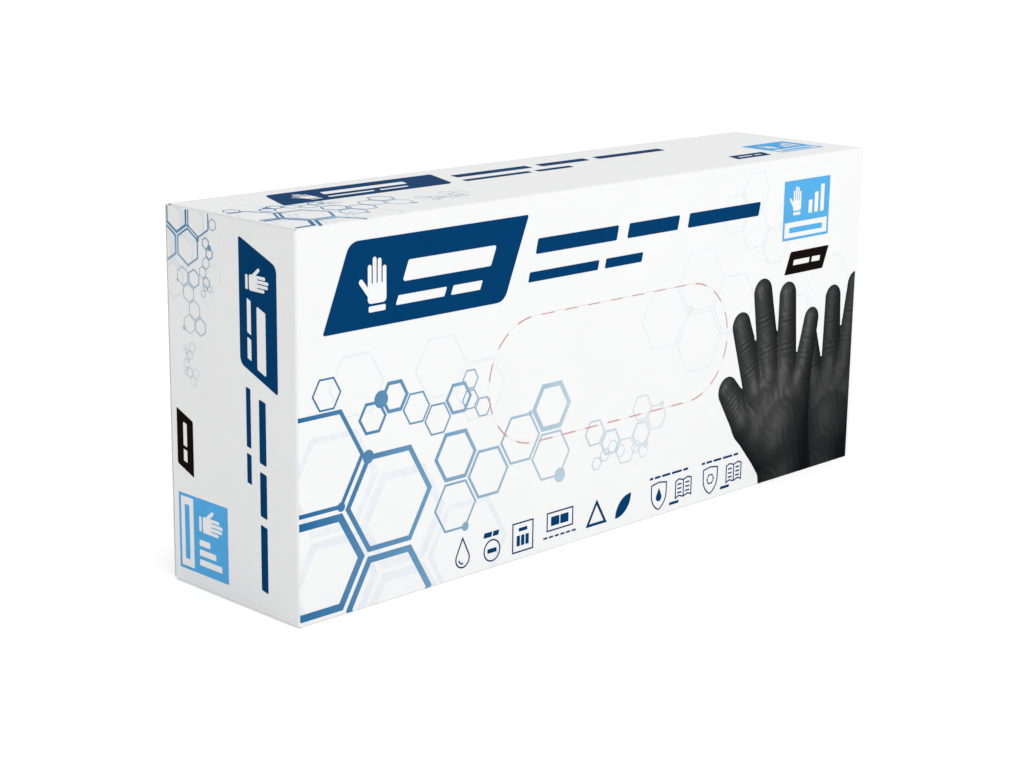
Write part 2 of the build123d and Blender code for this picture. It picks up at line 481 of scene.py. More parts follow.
def closed_piece(name, sheets, material, body, smooth=False):
    """One piece made of several closed sheets."""
    points, shapes = [], []
    for sheet_points, sheet_shapes in sheets:
        first = sum(len(some) for some in points)
        points.append(sheet_points)
        shapes += [tuple(first + k for k in shape) for shape in sheet_shapes]
    mesh = bpy.data.meshes.new(name)
    mesh.from_pydata(np.concatenate(points).tolist(), [], shapes)
    mesh.polygons.foreach_set("use_smooth", [smooth] * len(mesh.polygons))
    mesh.materials.append(material)
    piece = new_object(name, mesh)
    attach(piece, body)
    return piece


def bar_distances(u, v, bars):
    """For each tapered bar (start, end, first radius, last radius): how far the points
    are from its axis, its radius beside them, and how far along it they lie."""
    for (u0, v0), (u1, v1), first, last in bars:
        along = ((u - u0) * (u1 - u0) + (v - v0) * (v1 - v0)) / ((u1 - u0) ** 2 + (v1 - v0) ** 2)
        along = np.clip(along, 0.0, 1.0)
        away = np.hypot(u - u0 - along * (u1 - u0), v - v0 - along * (v1 - v0))
        yield away, first + (last - first) * along, along * hypot(u1 - u0, v1 - v0)


def melt(first, second, width):
    """The lesser of two distances, with a fillet of the given width where they meet."""
    share = np.clip(0.5 + 0.5 * (second - first) / width, 0.0, 1.0)
    return second + (first - second) * share - width * share * (1 - share)


# Points nearer to an outline than this share of a step are pulled onto it.
PULLED_SHARE = 0.55


def cut_grid(us, vs, field):
    """A grid of points and cells inside the outline where field is zero."""
    u, v = np.meshgrid(us, vs, indexing="ij")
    step = vs[1] - vs[0]
    reach = field(u, v)
    slope_u = (field(u + 0.01, v) - field(u - 0.01, v)) / 0.02
    slope_v = (field(u, v + 0.01) - field(u, v - 0.01)) / 0.02
    near = np.abs(reach) < PULLED_SHARE * step
    u = np.where(near, u - reach * slope_u, u)
    v = np.where(near, v - reach * slope_v, v)
    inside = near | (reach < 0)
    number = np.arange(u.size).reshape(u.shape)
    corners = [number[:-1, :-1], number[1:, :-1], number[1:, 1:], number[:-1, 1:]]
    corners = np.stack(corners, -1).reshape(-1, 4)
    flat_u, flat_v, flat_in = u.ravel(), v.ravel(), inside.ravel()
    corners = corners[flat_in[corners].sum(1) >= 3]
    share = flat_in[corners] / flat_in[corners].sum(1, keepdims=True)
    outside = field((flat_u[corners] * share).sum(1), (flat_v[corners] * share).sum(1))
    kept = corners[outside < 0.02 * step]
    used, shapes = only_used([[k for k in cell if flat_in[k]] for cell in kept])
    return flat_u[used], flat_v[used], shapes


# ---- print as thin closed plates of ink

# A face's side: how far in the flat board ends, and whether it goes on round a fold.
FOLD = (FOLD_RADIUS, True)
PLY_EDGE = (0.85, False)
BARE_CUT = (0.5, False)
CLOSURE_CUT = (0.6, False)
INSET_CUT = (1.5, False)


def faces():
    """The six printed faces: u runs along the reading direction, v up the text, and the
    third axis out of the board. Their sides are left, bottom, right and top."""
    def face(origin, u, v, body, width, height, *sides):
        u, v = Vector(u), Vector(v)
        axes = Matrix((u, v, u.cross(v))).transposed() * MM
        return Face(Matrix.Translation(Vector(origin)) @ axes.to_4x4(), body, width, height, sides)

    end = (HEIGHT, DEPTH, CLOSURE_CUT, PLY_EDGE, CLOSURE_CUT, FOLD)
    return {
        "front": face(low, (1, 0, 0), (0, 0, 1), "sleeve", LENGTH, HEIGHT, FOLD, FOLD, FOLD, FOLD),
        "back": face((high.x, high.y, low.z), (-1, 0, 0), (0, 0, 1), "sleeve", LENGTH, HEIGHT,
                     BARE_CUT, INSET_CUT, BARE_CUT, FOLD),
        "top": face((low.x, low.y, high.z), (1, 0, 0), (0, 1, 0), "sleeve", LENGTH, DEPTH,
                    INSET_CUT, FOLD, INSET_CUT, FOLD),
        "bottom": face((low.x, high.y, low.z), (1, 0, 0), (0, -1, 0), "sleeve", LENGTH, DEPTH,
                       INSET_CUT, INSET_CUT, INSET_CUT, FOLD),
        "left": face((low.x, high.y, high.z), (0, 0, -1), (0, -1, 0), "left_closure", *end),
        "right": face((high.x, high.y, low.z), (0, 0, 1), (0, -1, 0), "right_closure", *end),
    }


def on_board(face, u, v, height):
    """A point at a height over the board, in the row's frame. Past the flat part it follows
    the fold."""
    across = [u, v]
    rise = height
    for index, (flat, folded) in enumerate(face.sides):
        axis = index % 2
        edge, inward = (0.0, 1) if index < 2 else ((face.width, face.height)[axis], -1)
        past = flat - (across[axis] - edge) * inward
        if folded and past > 0:
            reach = FOLD_RADIUS + height
            across[axis] = edge + inward * (flat - reach * sin(past / FOLD_RADIUS))
            rise -= reach * (1 - cos(past / FOLD_RADIUS))
    return face.matrix @ Vector((*across, rise))


def closed_plate(name, face, flat, cells, thickness, material, body=None):
    """A closed plate with the given flat cells, bent into the folds."""
    top, foot = (np.array([on_board(face, u, v, height) for u, v in flat])
                 for height in (thickness, -INK_SUNK))
    sheets = [closed_sheet(top, foot, cells)]
    return closed_piece(f"print_{name}", sheets, material, body or face.body)


def ink(name, face, loops, material, level=TEXT_LEVEL, holes=(), region=None, body=None):
    """One plate of ink for all the loops, less the holes and what the region leaves off."""
    region = region or panel_region(face)
    points = []
    outlines = []
    for loop in [*loops, *holes]:
        order = range(len(points), len(points) + len(loop))
        outlines.append(list(order if turns_left(loop) else reversed(order)))
        points += [Vector(point) for point in loop]
    edges = []
    for loop in region.outlines:
        first, count = len(points), len(loop)
        points += [Vector(point) for point in loop]
        edges += [(first + k, first + (k + 1) % count) for k in range(count)]
    found = delaunay_2d_cdt(points, edges, outlines, 0, 1e-4)
    flat, triangles, owners = found[0], found[2], found[5]
    kept = []
    for triangle, owner in zip(triangles, owners):
        middle = sum((flat[k] for k in triangle), Vector((0, 0))) / len(triangle)
        if owner and max(owner) < len(loops) and region.holds(middle):
            kept.append(triangle)
    used, shapes = only_used(kept)
    points = [tuple(flat[k]) for k in used]
    closed_plate(name, face, points, shapes, INK_LIFT * (level + 1), material, body)


def ink_across_tab(name, face, loops, material, level):
    """Print that crosses the tear-out line: one plate on the sleeve, one on the tab."""
    ink(name, face, loops, material, level, region=sleeve_region(face))
    ink(name + "_on_tab", face, loops, material, level, region=tab_region(), body="tear_out")


# ---- the pattern of cells

# A cell's outer radius and a dot's distance from its middle, as shares of the comb's pitch.
CELL_SHARE = 0.955
DOT_SHARE = 0.92


def centre(comb, column, row):
    u = comb.u + 1.5 * comb.pitch * column
    return u, comb.v + 3 ** 0.5 * comb.pitch * (row + 0.5 * (column % 2))


def cells(combs, size=1.0):
    """The outlines of the chosen cells of each comb, with a clear line between neighbours."""
    loops = []
    for comb in combs:
        for column, row, width in comb.cells:
            u, v = centre(comb, column, row)
            radius = CELL_SHARE * comb.pitch - width / 3 ** 0.5
            loops += stroke(polygon(u * size, v * size, radius * size, 6), width * size)
    return loops


def dots(combs, picked, size=1.0):
    """Round dots on chosen corners: (which comb, column, row, corner, radius)."""
    loops = []
    for index, column, row, corner, radius in picked:
        comb = combs[index]
        u, v = polygon(*centre(comb, column, row), DOT_SHARE * comb.pitch, 6)[corner]
        loops.append(polygon(u * size, v * size, radius * size, 24))
    return loops


# Each cell is its column, its row and the width of its line.
STRONG_COMBS = [
    Comb(16.2, 7.0, 15.0, [(0, 0, 2.1), (0, 1, 1.2), (1, -1, 1.9), (1, 0, 1.5)]),
    Comb(8.4, 55.6, 21.6,
         [(0, 0, 0.6), (0, 1, 1.1), (1, 0, 0.8), (2, 1, 0.7), (3, 0, 0.6), (3, 1, 1.4)]),
    Comb(5.2, 25.4, 52.2,
         [(0, 0, 0.8), (1, 0, 1.0), (2, 0, 0.5), (3, -1, 0.5), (-2, 1, 0.5), (4, 0, 0.9)]),
    Comb(3.3, 61.0, 51.0, [(0, 0, 0.4), (1, -1, 0.4), (0, 1, 0.4)]),
    Comb(4.6, 112.0, 32.0,
         [(0, 0, 0.5), (1, -1, 0.7), (2, -1, 0.4), (3, -1, 0.8), (3, 0, 0.4), (4, 0, 0.4)]),
    Comb(2.3, 113.0, 22.4,
         [(column, row, 0.3) for column, row in ((0, 0), (1, 0), (2, 1), (3, 0), (5, 0), (6, 0))]),
]
STRONG_DOTS = [
    (0, 1, 0, 2, 1.9), (0, 0, 1, 5, 1.3), (1, 0, 0, 5, 1.3), (1, 2, 1, 1, 0.8),
    (1, 3, 0, 5, 2.2), (2, 1, 0, 3, 2.4), (4, 3, -1, 5, 1.2), (4, 4, 0, 1, 0.9),
]
GHOST_COMBS = [
    Comb(16.2, 12.0, 9.0, [(0, 0, 2.4), (0, 1, 1.8), (1, 0, 2.4), (1, -1, 2.6), (2, 0, 1.6)]),
    Comb(10.0, 20.0, 62.0, [(0, 0, 0.5), (2, 0, 0.4), (3, -1, 0.5)]),
]
FAINT_COMBS = [
    Comb(11.0, 142.0, 62.0, [(0, 0, 0.4), (1, 0, 0.3), (1, -1, 0.4), (2, 0, 0.5)]),
    Comb(7.0, 184.0, 84.0, [(0, 0, 0.4), (1, -1, 0.5), (0, 1, 0.3), (-1, 0, 0.3)]),
    Comb(12.5, 205.0, 50.0, [(0, 0, 0.5), (1, 0, 0.4)]),
]
FAINT_DOTS = [(0, 1, 0, 4, 1.6), (1, 1, -1, 1, 1.8), (1, 0, 1, 3, 1.2)]


# ---- what is printed

def strong_cells(size=1.0):
    return cells(STRONG_COMBS, size) + dots(STRONG_COMBS, STRONG_DOTS, size)


def tear_dashes():
    """The printed dashes on both sides of the perforated cuts, and those on the tab's hinge."""
    left, right, middle, radius = tab_shape()
    length = right - left
    count = round(length / DASH_PITCH)
    arc_count = round(pi * radius / DASH_PITCH)
    half = degrees(DASH_LENGTH / radius) / 2
    starts = [left + length * (index + 0.5) / count - DASH_LENGTH / 2 for index in range(count)]
    near, far = DASH_INSIDE
    upper = [box(start, middle + radius + near, DASH_LENGTH, far - near) for start in starts]
    outer, inner = [], []
    for loops, (near, far) in ((outer, DASH_OUTSIDE), (inner, DASH_INSIDE)):
        loops += [box(start, middle - radius - far, DASH_LENGTH, far - near) for start in starts]
        for index in range(arc_count):
            turn = -90 + (index + 0.5) * 180 / arc_count
            for u, way in ((right, turn), (left, 180 - turn)):
                loops.append(arc(u, middle, radius + near, way - half, way + half, 6)
                             + arc(u, middle, radius + far, way + half, way - half, 6))
    return outer, inner, upper


def size_box(u, v, width, height):
    """A light box with a pictogram and rising bars, over a bordered strip with one line."""
    strip = 0.3 * height
    border = 0.8
    corner = 0.3
    loops = [box(u, v + strip, width, height - strip, corner)]
    loops += stroke(box(u + border / 2, v + border / 2, width - border, strip), border)
    loops.append(box(u + 0.14 * width, v + 0.12 * height, 0.72 * width, 0.09 * height, corner))
    size = 0.5 * height
    foot = v + strip + 0.11 * height
    holes = hand(u + 0.12 * width, foot, size)
    for index in range(3):
        start = u + (0.54 + 0.13 * index) * width
        holes.append(box(start, foot, 0.085 * width, size * (0.45 + 0.24 * index), corner))
    return loops, holes


def name_block(u, v, length, height):
    """A slanted block with a glove pictogram and two lines of bars left white in it."""
    loops = [slab(u, v, length, height, BLOCK_LEAN, (0.5, 0.18 * height, 0.5, 0.18 * height))]
    size = 0.64 * height
    start = u + 0.36 * height + 0.06 * length
    holes = hand(start, v + 0.17 * height, size)
    start += 0.85 * size
    rise = BLOCK_LEAN * height
    holes += words(start + 0.26 * rise, v + 0.46 * height, 0.24 * height,
                   [0.50 * length], 0.0, BLOCK_LEAN)
    holes += words(start, v + 0.20 * height, 0.11 * height,
                   [0.27 * length, 0.17 * length], 0.035 * length, BLOCK_LEAN)
    return loops, holes


BOOK_PAGE = [(0, -0.42), (0.32, -0.33), (0.55, -0.42), (0.55, 0.38), (0.32, 0.47), (0, 0.38)]


def shield(u, v, size):
    """Straight shoulders over two arcs that meet in a point."""
    left = arc(0.3, 0.06, 0.8, 180, 248)
    right = [(-x, y) for x, y in reversed(left)]
    return placed([(0, 0.58), (-0.5, 0.5), *left, *right, (0.5, 0.5)], u, v, size)


def drop(u, v, size):
    return placed([(0, 0.55), *arc(0, -0.14, 0.3, 155, 385, 18)], u, v, size)


def book(u, v, size, line):
    """An open book with lines on its pages."""
    loops = []
    for side in (1, -1):
        loops += stroke(placed([(side * x, y) for x, y in BOOK_PAGE], u, v, size), line)
        for row in range(3):
            start = u + (0.14 if side > 0 else -0.42) * size
            loops.append(box(start, v + (0.18 - 0.2 * row) * size, 0.28 * size, 0.07 * size))
    return loops


def drop_sign(u, v, size, line):
    """A drop with a short gleam in it."""
    gleam = arc(u, v - 0.14 * size, 0.17 * size, 190, 280)
    return stroke(drop(u, v, size), line) + stroke(gleam, line, False)


def ring_sign(u, v, size, line):
    """A ring round a bar, under a line of two bars."""
    loops = words(u - 3.4, v + 0.32 * size, 0.17 * size, (0.36 * size, 0.26 * size), 0.5)
    loops += stroke(polygon(u, v - 0.16 * size, 0.36 * size), line)
    return loops + [box(u - 1.8, v - 0.24 * size, 3.6, 0.15 * size, 0.2)]


def posts_sign(u, v, size, line):
    """A frame round a short bar over three posts."""
    posts = [box(u + 1.6 + 1.8 * k, v - 0.3 * size, 1.3, 0.36 * size, 0.2) for k in range(3)]
    bar = box(u + 2.4, v + 0.2 * size, 0.4 * size, 0.12 * size, 0.2)
    return stroke(box(u, v - 0.5 * size, 0.95 * size, size), line) + [bar, *posts]


def plate_sign(u, v, size, line):
    """A frame round two squares, over a line of short bars."""
    loops = stroke(box(u, v - 0.1 * size, 1.25 * size, 0.62 * size), line)
    loops += [box(u + 1.6 + 3.9 * k, v + 0.05 * size, 0.4 * size, 0.32 * size, 0.3) for k in range(2)]
    return loops + words(u - 1.6, v - 0.36 * size, 0.06 * size, [1.7] * 6, 0.7)


def triangle_sign(u, v, size, line):
    return stroke(polygon(u, v - 0.1 * size, 0.52 * size, 3, 90), 2 * line)


def leaf_sign(u, v, size, line):
    """A filled leaf of two quarter arcs."""
    return [placed(arc(-0.4, 0.4, 0.8, -90, 0) + arc(0.4, -0.4, 0.8, 90, 180), u, v, size)]


def shield_sign(u, v, size, line):
    """A shield and an open book, under a line of short bars, with one more bar below."""
    loops = stroke(shield(u, v, 0.8 * size), line)
    loops += book(u + 11.6, v, 0.78 * size, line)
    loops += words(u - 4.4, v + 0.62 * size, 0.08 * size, [1.5, 2.6, 3.8, 4.6, 2.2], 0.8)
    return loops + words(u + 5.0, v - 0.52 * size, 0.1 * size, [4.4], 0.0)


def drop_shield_sign(u, v, size, line):
    return shield_sign(u, v, size, line) + [drop(u, v - 0.02 * size, 0.5 * size)]


def ring_shield_sign(u, v, size, line):
    ring = stroke(polygon(u, v, 0.17 * size, 24), 0.7 * line)
    beads = [polygon(*place, 0.32, 12) for place in polygon(u, v, 1.5, 6)]
    return shield_sign(u, v, size, line) + ring + beads


SIGN_HEIGHT = 6.9
SIGN_SIZE = 8.6
SIGN_LINE = 0.42
SIGNS = [
    (drop_sign, 58.5), (ring_sign, 70.0), (posts_sign, 78.3), (plate_sign, 92.4), (triangle_sign, 113.5),
    (leaf_sign, 125.3), (drop_shield_sign, 141.6), (ring_shield_sign, 166.2),
]


def signs():
    """The row of plain signs along the foot of the front and the back."""
    return [loop for sign, u in SIGNS for loop in sign(u, SIGN_HEIGHT, SIGN_SIZE, SIGN_LINE)]


def label(u, v, length, height):
    """A slanted label with two bars left white in it."""
    loops = [slab(u, v, length, height, BLOCK_LEAN, (0.1, 0.8, 0.1, 0.8))]
    start = u + 0.14 * length + 0.5 * BLOCK_LEAN * height
    holes = words(start, v + 0.38 * height, 0.24 * height, [0.42 * length, 0.22 * length], 0.06 * length)
    return loops, holes


# ---- what is printed where

# The scale of the cells, then the block, the lines of bars, the label with its ink, and the
# size box: each starts with its lower left corner.
PANEL = Layout(
    scale=1.0,
    block=(8.6, 76.5, 65.0, 23.2),
    title=((85.8, 88.3, 4.3, (33.5, 22.5, 34.0), 4.6), (83.0, 80.6, 2.8, (28.5, 16.0), 3.0)),
    label=(199.6, 67.5, 20.0, 7.2),
    label_ink="black",
    size_box=(197.8, 78.6, 23.8, 19.0),
)
END = Layout(
    scale=0.335,
    block=(4.5, 31.3, 33.4, 15.2),
    title=((46.3, 38.7, 2.7, (17.0, 12.0, 18.0), 2.4), (43.9, 33.4, 1.8, (16.0, 8.0), 1.8)),
    label=(55.2, 3.0, 15.6, 7.1),
    label_ink="black",
    size_box=(79.0, 3.0, 21.5, 21.5),
)
LONG_SIDE = Layout(
    scale=0.52,
    block=(21.0, 30.0, 61.5, 16.4),
    title=((91.1, 37.0, 4.0, (31.0, 21.0, 31.0), 4.4), (88.1, 30.1, 2.6, (27.0, 15.0), 2.8)),
    label=(184.8, 8.6, 16.5, 5.8),
    label_ink="navy",
    size_box=(208.5, 9.5, 21.5, 17.0),
)


def print_layout(name, face, layout, inks, more_title=()):
    """What every face carries besides its cells."""
    title = [bar for line in layout.title for bar in words(*line)]
    for part, colour, (loops, holes) in (
            ("block", "navy", name_block(*layout.block)),
            ("title", "navy", ([*title, *more_title], ())),
            ("label", layout.label_ink, label(*layout.label)),
            ("size_box", "sky", size_box(*layout.size_box))):
        ink(f"{name}_{part}", face, loops, inks[colour], holes=holes)


def print_front(face, inks):
    outer, inner, upper = tear_dashes()
    ink("tear_line", face, outer, inks["tear_line"], DASH_LEVEL)
    ink("tear_line_on_tab", face, inner, inks["tear_line"], DASH_LEVEL, body="tear_out")
    ink("tear_line_on_hinge", face, upper, inks["tear_line"], HINGE_LEVEL, body="tear_out")
    faint = cells(FAINT_COMBS) + dots(FAINT_COMBS, FAINT_DOTS)
    ink_across_tab("front_ghost", face, cells(GHOST_COMBS), inks["ghost"], GHOST_LEVEL)
    ink_across_tab("front_faint", face, faint, inks["ghost"], GHOST_LEVEL)
    ink_across_tab("front_cells", face, strong_cells(), inks["cells_front"], CELL_LEVEL)
    print_layout("front", face, PANEL, inks)
    ink("front_signs", face, signs(), inks["navy"])


SMALL_PITCH = 2.1
SMALL_HEIGHT = 0.75
# The columns of small print on the back: where they start, their heads, rows and seeds.
COLUMNS = ((105.0, (16.0, 8.0), 22, 5), (139.0, (12.0, 12.0), 17, 6))
COLUMN_WIDTH = 29.0
HEAD_HEIGHT = 69.5
TEXT_HEIGHT = 65.0
# The table under the last column: its lower left corner, width and height.
TABLE = (139.0, 17.5, 29.0, 10.5)


def paragraph(seed, u, v, width, rows):
    """Rows of small word-length bars that fill a column, ragged at the right."""
    random = np.random.default_rng(seed)
    loops = []
    for row in range(rows):
        place = u
        while place < u + width - 4:
            length = min(random.uniform(2.2, 8.5), u + width - place)
            loops += words(place, v - row * SMALL_PITCH, SMALL_HEIGHT, [length], 0.0, 0.0)
            place += length + 1.0
    return loops


def print_back(face, inks):
    """The back repeats the front, with columns of small print in place of the window."""
    ink("back_ghost", face, cells(GHOST_COMBS + FAINT_COMBS), inks["ghost"], GHOST_LEVEL)
    some_cells = cells(STRONG_COMBS[:3]) + dots(STRONG_COMBS, STRONG_DOTS[:5])
    ink("back_cells", face, some_cells, inks["cells_back"], CELL_LEVEL)
    heads, small = [], []
    for u, lengths, rows, seed in COLUMNS:
        heads += words(u, HEAD_HEIGHT, 2.0, lengths, 1.6, 0.0)
        small += paragraph(seed, u, TEXT_HEIGHT, COLUMN_WIDTH, rows)
    print_layout("back", face, PANEL, inks, heads)
    ink("back_small_print", face, small, inks["grey"])
    left, foot, width, height = TABLE
    table = stroke(box(*TABLE), 0.35)
    table += [box(left + width / 4 * k, foot, 0.3, height) for k in (1, 2, 3)]
    table.append(box(left, foot + 5.1, width, 0.3))
    ink("back_table", face, table + signs(), inks["navy"])


def print_narrow(name, face, layout, inks, kind):
    """The ends, the top and the bottom. The left end's print reads downwards."""
    ink(f"{name}_ghost", face, cells(GHOST_COMBS, layout.scale), inks["ghost"], GHOST_LEVEL)
    ink(f"{name}_cells", face, strong_cells(layout.scale), inks[f"cells_{kind}"], CELL_LEVEL)
    print_layout(name, face, layout, inks)


def print_under(face, inks):
    """Small print on the bottom, and an empty frame with round corners."""
    small = paragraph(7, 92.0, 22.0, 40.0, 7) + stroke(box(140.0, 7.0, 36.0, 16.0, 1.0), 0.4)
    ink("bottom_small_print", face, small, inks["grey"])


# ---- the picture of two gloved hands, printed on the front and the back

PICTURE_STEP = 0.5
PICTURE_MARGIN = 2.0
PICTURE_LIGHT = Vector((-0.42, 0.5, 0.76)).normalized()
PICTURE_SHINE = (PICTURE_LIGHT + Vector((0, 0, 1))).normalized()
# Shares of the tone: everywhere, where it is lit, where it shines, and less near the foot.
TONE_BASE = 0.10
TONE_LIT = 0.46
TONE_SHINE = 0.34
TONE_DUSK = 0.26
DUSK_HEIGHT = 30
SHINE_POWER = 9
# Tapered bars: start, end, first radius and last radius.
PICTURE_PALM = [
    ((1.0, -24), (0.6, 12), 11.2, 11.6),
    ((-4, 10), (-9, 26), 8.5, 5.6),
    ((-1.5, 10), (-3.2, 28), 8.5, 5.6),
    ((1.5, 10), (3.2, 28), 8.5, 5.4),
    ((4, 10), (9.2, 25.5), 8.0, 5.0),
    ((-6, 10), (-15, 20.5), 7.0, 5.2),
]
PICTURE_FINGERS = [
    ((-9.8, 27), (-14.2, 47.5), 4.7, 3.7),
    ((-3.4, 28.5), (-4.6, 54), 4.8, 3.8),
    ((3.4, 28), (5.8, 50.5), 4.6, 3.6),
    ((10.0, 25.5), (15.6, 41), 4.1, 3.2),
    ((-15, 20.5), (-21.2, 31.5), 5.2, 3.9),
]
PICTURE_REACH = 62
PICTURE_FILLET = 1.2
PICTURE_SAMPLE = 0.3
JOINT_SHARES = (0.36, 0.70)
JOINT_REACH = 2.1
JOINT_WAVE = 3.6
# Where the hands stand, their turn in degrees and size, whether they are turned over, the
# level of their ink and their share of the light.
PICTURE_HANDS = [
    ("right_hand", (228.0, -1.0), -5, 1.14, -1, 1, 0.80),
    ("left_hand", (203.5, 0.5), 8, 1.19, 1, 2, 1.0),
]


def picture_hand(name, face, material, foot, turn, size, mirror, level, shade):
    """One gloved hand with its fingers up, shaded as rounded bars under a soft light."""
    u, v = foot
    turn = radians(turn)

    def place(u0, v0):
        x, y = u0 * mirror * size, v0 * size
        return u + x * cos(turn) - y * sin(turn), v + x * sin(turn) + y * cos(turn)

    bars = [(place(*start), place(*end), first * size, last * size)
            for start, end, first, last in PICTURE_PALM + PICTURE_FINGERS]
    fingers = bars[len(PICTURE_PALM):]
    left, bottom, _, top = print_limits(face)
    right = face.width - PICTURE_MARGIN

    def field(us, vs):
        total = None
        for distance, radius, _ in bar_distances(us, vs, bars):
            beyond = distance - radius
            total = beyond if total is None else melt(total, beyond, PICTURE_FILLET)
        return np.maximum.reduce([total, us - right, left - us, vs - top, bottom - vs])

    def joints(us, vs):
        """Fine wrinkles across the fingers at their joints."""
        total = 0.0
        for (distance, radius, along), (start, end, *_) in zip(bar_distances(us, vs, fingers), fingers):
            length = hypot(end[0] - start[0], end[1] - start[1])
            for joint in JOINT_SHARES:
                past = along - joint * length
                wrinkles = np.exp(-(past / JOINT_REACH) ** 2) * np.cos(JOINT_WAVE * past)
                total = total + np.where(distance < radius, wrinkles, 0.0)
        return total

    def relief(us, vs):
        """The height of the glove's skin: round bars, wrinkles, creases and hollows."""
        total = 0.0
        for distance, radius, _ in bar_distances(us, vs, bars):
            total = total + np.maximum(radius ** 2 - distance ** 2, 0.0) ** 2.5
        creases = np.sin(1.7 * us + 1.1 * vs + 2 * np.sin(0.31 * us - 0.4 * vs))
        creases = creases * np.sin(0.17 * us + 0.23 * vs + level)
        hollows = np.sin(0.30 * us - 0.21 * vs + level) + np.sin(0.17 * us + 0.26 * vs + 2 * level)
        return total ** 0.2 + 0.12 * joints(us, vs) + 0.09 * creases + 0.22 * hollows

    reach = PICTURE_REACH * size
    spans = (max(left, u - reach), min(right, u + reach)), (bottom, v + reach)
    us, vs = (np.linspace(start, end, round((end - start) / PICTURE_STEP) + 1) for start, end in spans)
    flat_u, flat_v, shapes = cut_grid(us, vs, field)
    near = PICTURE_SAMPLE
    slope_u = (relief(flat_u + near, flat_v) - relief(flat_u - near, flat_v)) / (2 * near)
    slope_v = (relief(flat_u, flat_v + near) - relief(flat_u, flat_v - near)) / (2 * near)
    steep = np.sqrt(1 + slope_u ** 2 + slope_v ** 2)
    lit, shine = (np.clip((way.z - way.x * slope_u - way.y * slope_v) / steep, 0.0, 1.0)
                  for way in (PICTURE_LIGHT, PICTURE_SHINE))
    dusk = TONE_DUSK * np.clip(1 - flat_v / DUSK_HEIGHT, 0, 1)
    tone = shade * (TONE_BASE + TONE_LIT * lit + TONE_SHINE * shine ** SHINE_POWER) - dusk
    piece = closed_plate(name, face, list(zip(flat_u, flat_v)), shapes, INK_LIFT * (level + 1), material)
    store = piece.data.attributes.new("tone", "FLOAT", "POINT")
    store.data.foreach_set("value", np.concatenate([tone, tone]))


def print_picture(name, face, material):
    for hand_name, *looks in PICTURE_HANDS:
        picture_hand(f"{name}_{hand_name}", face, material, *looks)


# ---- the gloves

BUNDLES = 10
GLOVES = 100
GLOVE_LOW, GLOVE_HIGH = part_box("glove_bundle_01")
STACK_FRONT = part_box("glove_bundle_10")[0].y / MM
STACK_BACK = GLOVE_HIGH.y / MM
GLOVE_PITCH = (STACK_BACK - STACK_FRONT) / GLOVES
GLOVE_LENGTH = 230.0
GLOVE_WIDTH = 104.0
GLOVE_MIDDLE = 50.6
GLOVE_NARROWED = 0.985
CUFF_HALF = 39.0
PALM_END = 146.0
WAIST_DEPTH = 3.5
WAIST_PLACE = 42.0
WAIST_SPREAD = 26.0
FINGER_FILLET = 3.0
FILM_PAIR = 0.16
FILM_ROUND = 0.6
CUFF_BEAD = 0.07
HEADROOM = 5.6
FINE_GLOVES = 3
FINE_STEP = 1.2
PLAIN_STEP = 4.0
CUFF_ROWS = (0.0, 0.5, 1.1, 2.2)
# Four fingers and the thumb, as tapered bars: start, end, first radius and last radius.
HAND_BARS = [
    ((128, 9), (196, 8.4), 9.0, 6.9),
    ((128, 29), (214, 28.2), 8.7, 6.9),
    ((128, 49), (222, 49.6), 8.7, 6.9),
    ((128, 69), (212, 71), 8.7, 6.9),
    ((96, 68), (154, 91.2), 10.0, 8.6),
]
# The creases: the first glove that has them, how far they lift it, their shortest and longest.
CREASES = [
    *((first, 0.5, 25, 70) for first in range(0, 81, 20)),
    *((first, 0.2, 16, 50) for first in range(90, 97)),
    (97, 1.1, 18, 55), (97, 0.5, 8, 20),
    (98, 1.5, 18, 55), (98, 0.7, 8, 20),
    (99, 2.6, 16, 48), (99, 1.2, 9, 22), (99, 0.35, 4, 9),
]


def glove_field(u, v):
    """How far points are outside a flat glove, its cuff at u = 0 and its thumb up."""
    half = CUFF_HALF - WAIST_DEPTH * np.exp(-((u - WAIST_PLACE) / WAIST_SPREAD) ** 2)
    total = np.maximum(np.abs(v - CUFF_HALF) - half, u - PALM_END)
    for distance, radius, _ in bar_distances(u, v, HAND_BARS):
        total = melt(total, distance - radius, FINGER_FILLET)
    return np.maximum(total, -u)


def folds(seed, x, z, shortest, longest, count=9):
    """Crests of 0 to 1 along wandering lines, like creased film."""
    random = np.random.default_rng(seed)
    total = np.zeros_like(x)
    for _ in range(count):
        length = random.uniform(shortest, longest)
        turn = random.uniform(0, pi)
        bend = random.uniform(0.5, 1.6) * np.sin(2 * pi * (x * sin(turn) - z * cos(turn)) / (2.3 * length))
        wave = 2 * pi * (x * cos(turn) + z * sin(turn)) / length
        total += np.sin(wave + random.uniform(0, 2 * pi) + bend)
    return np.clip(1 - np.abs(total) / (0.55 * count ** 0.5), 0, 1) ** 2


def lift_of(index, x, z):
    """How far a glove is lifted by its creases and by those of the gloves behind it."""
    total = 0.0
    for seed, (first, height, shortest, longest) in enumerate(CREASES):
        if index >= first:
            total = total + height * folds(seed, x, z, shortest, longest)
    return HEADROOM * np.tanh(total / HEADROOM)


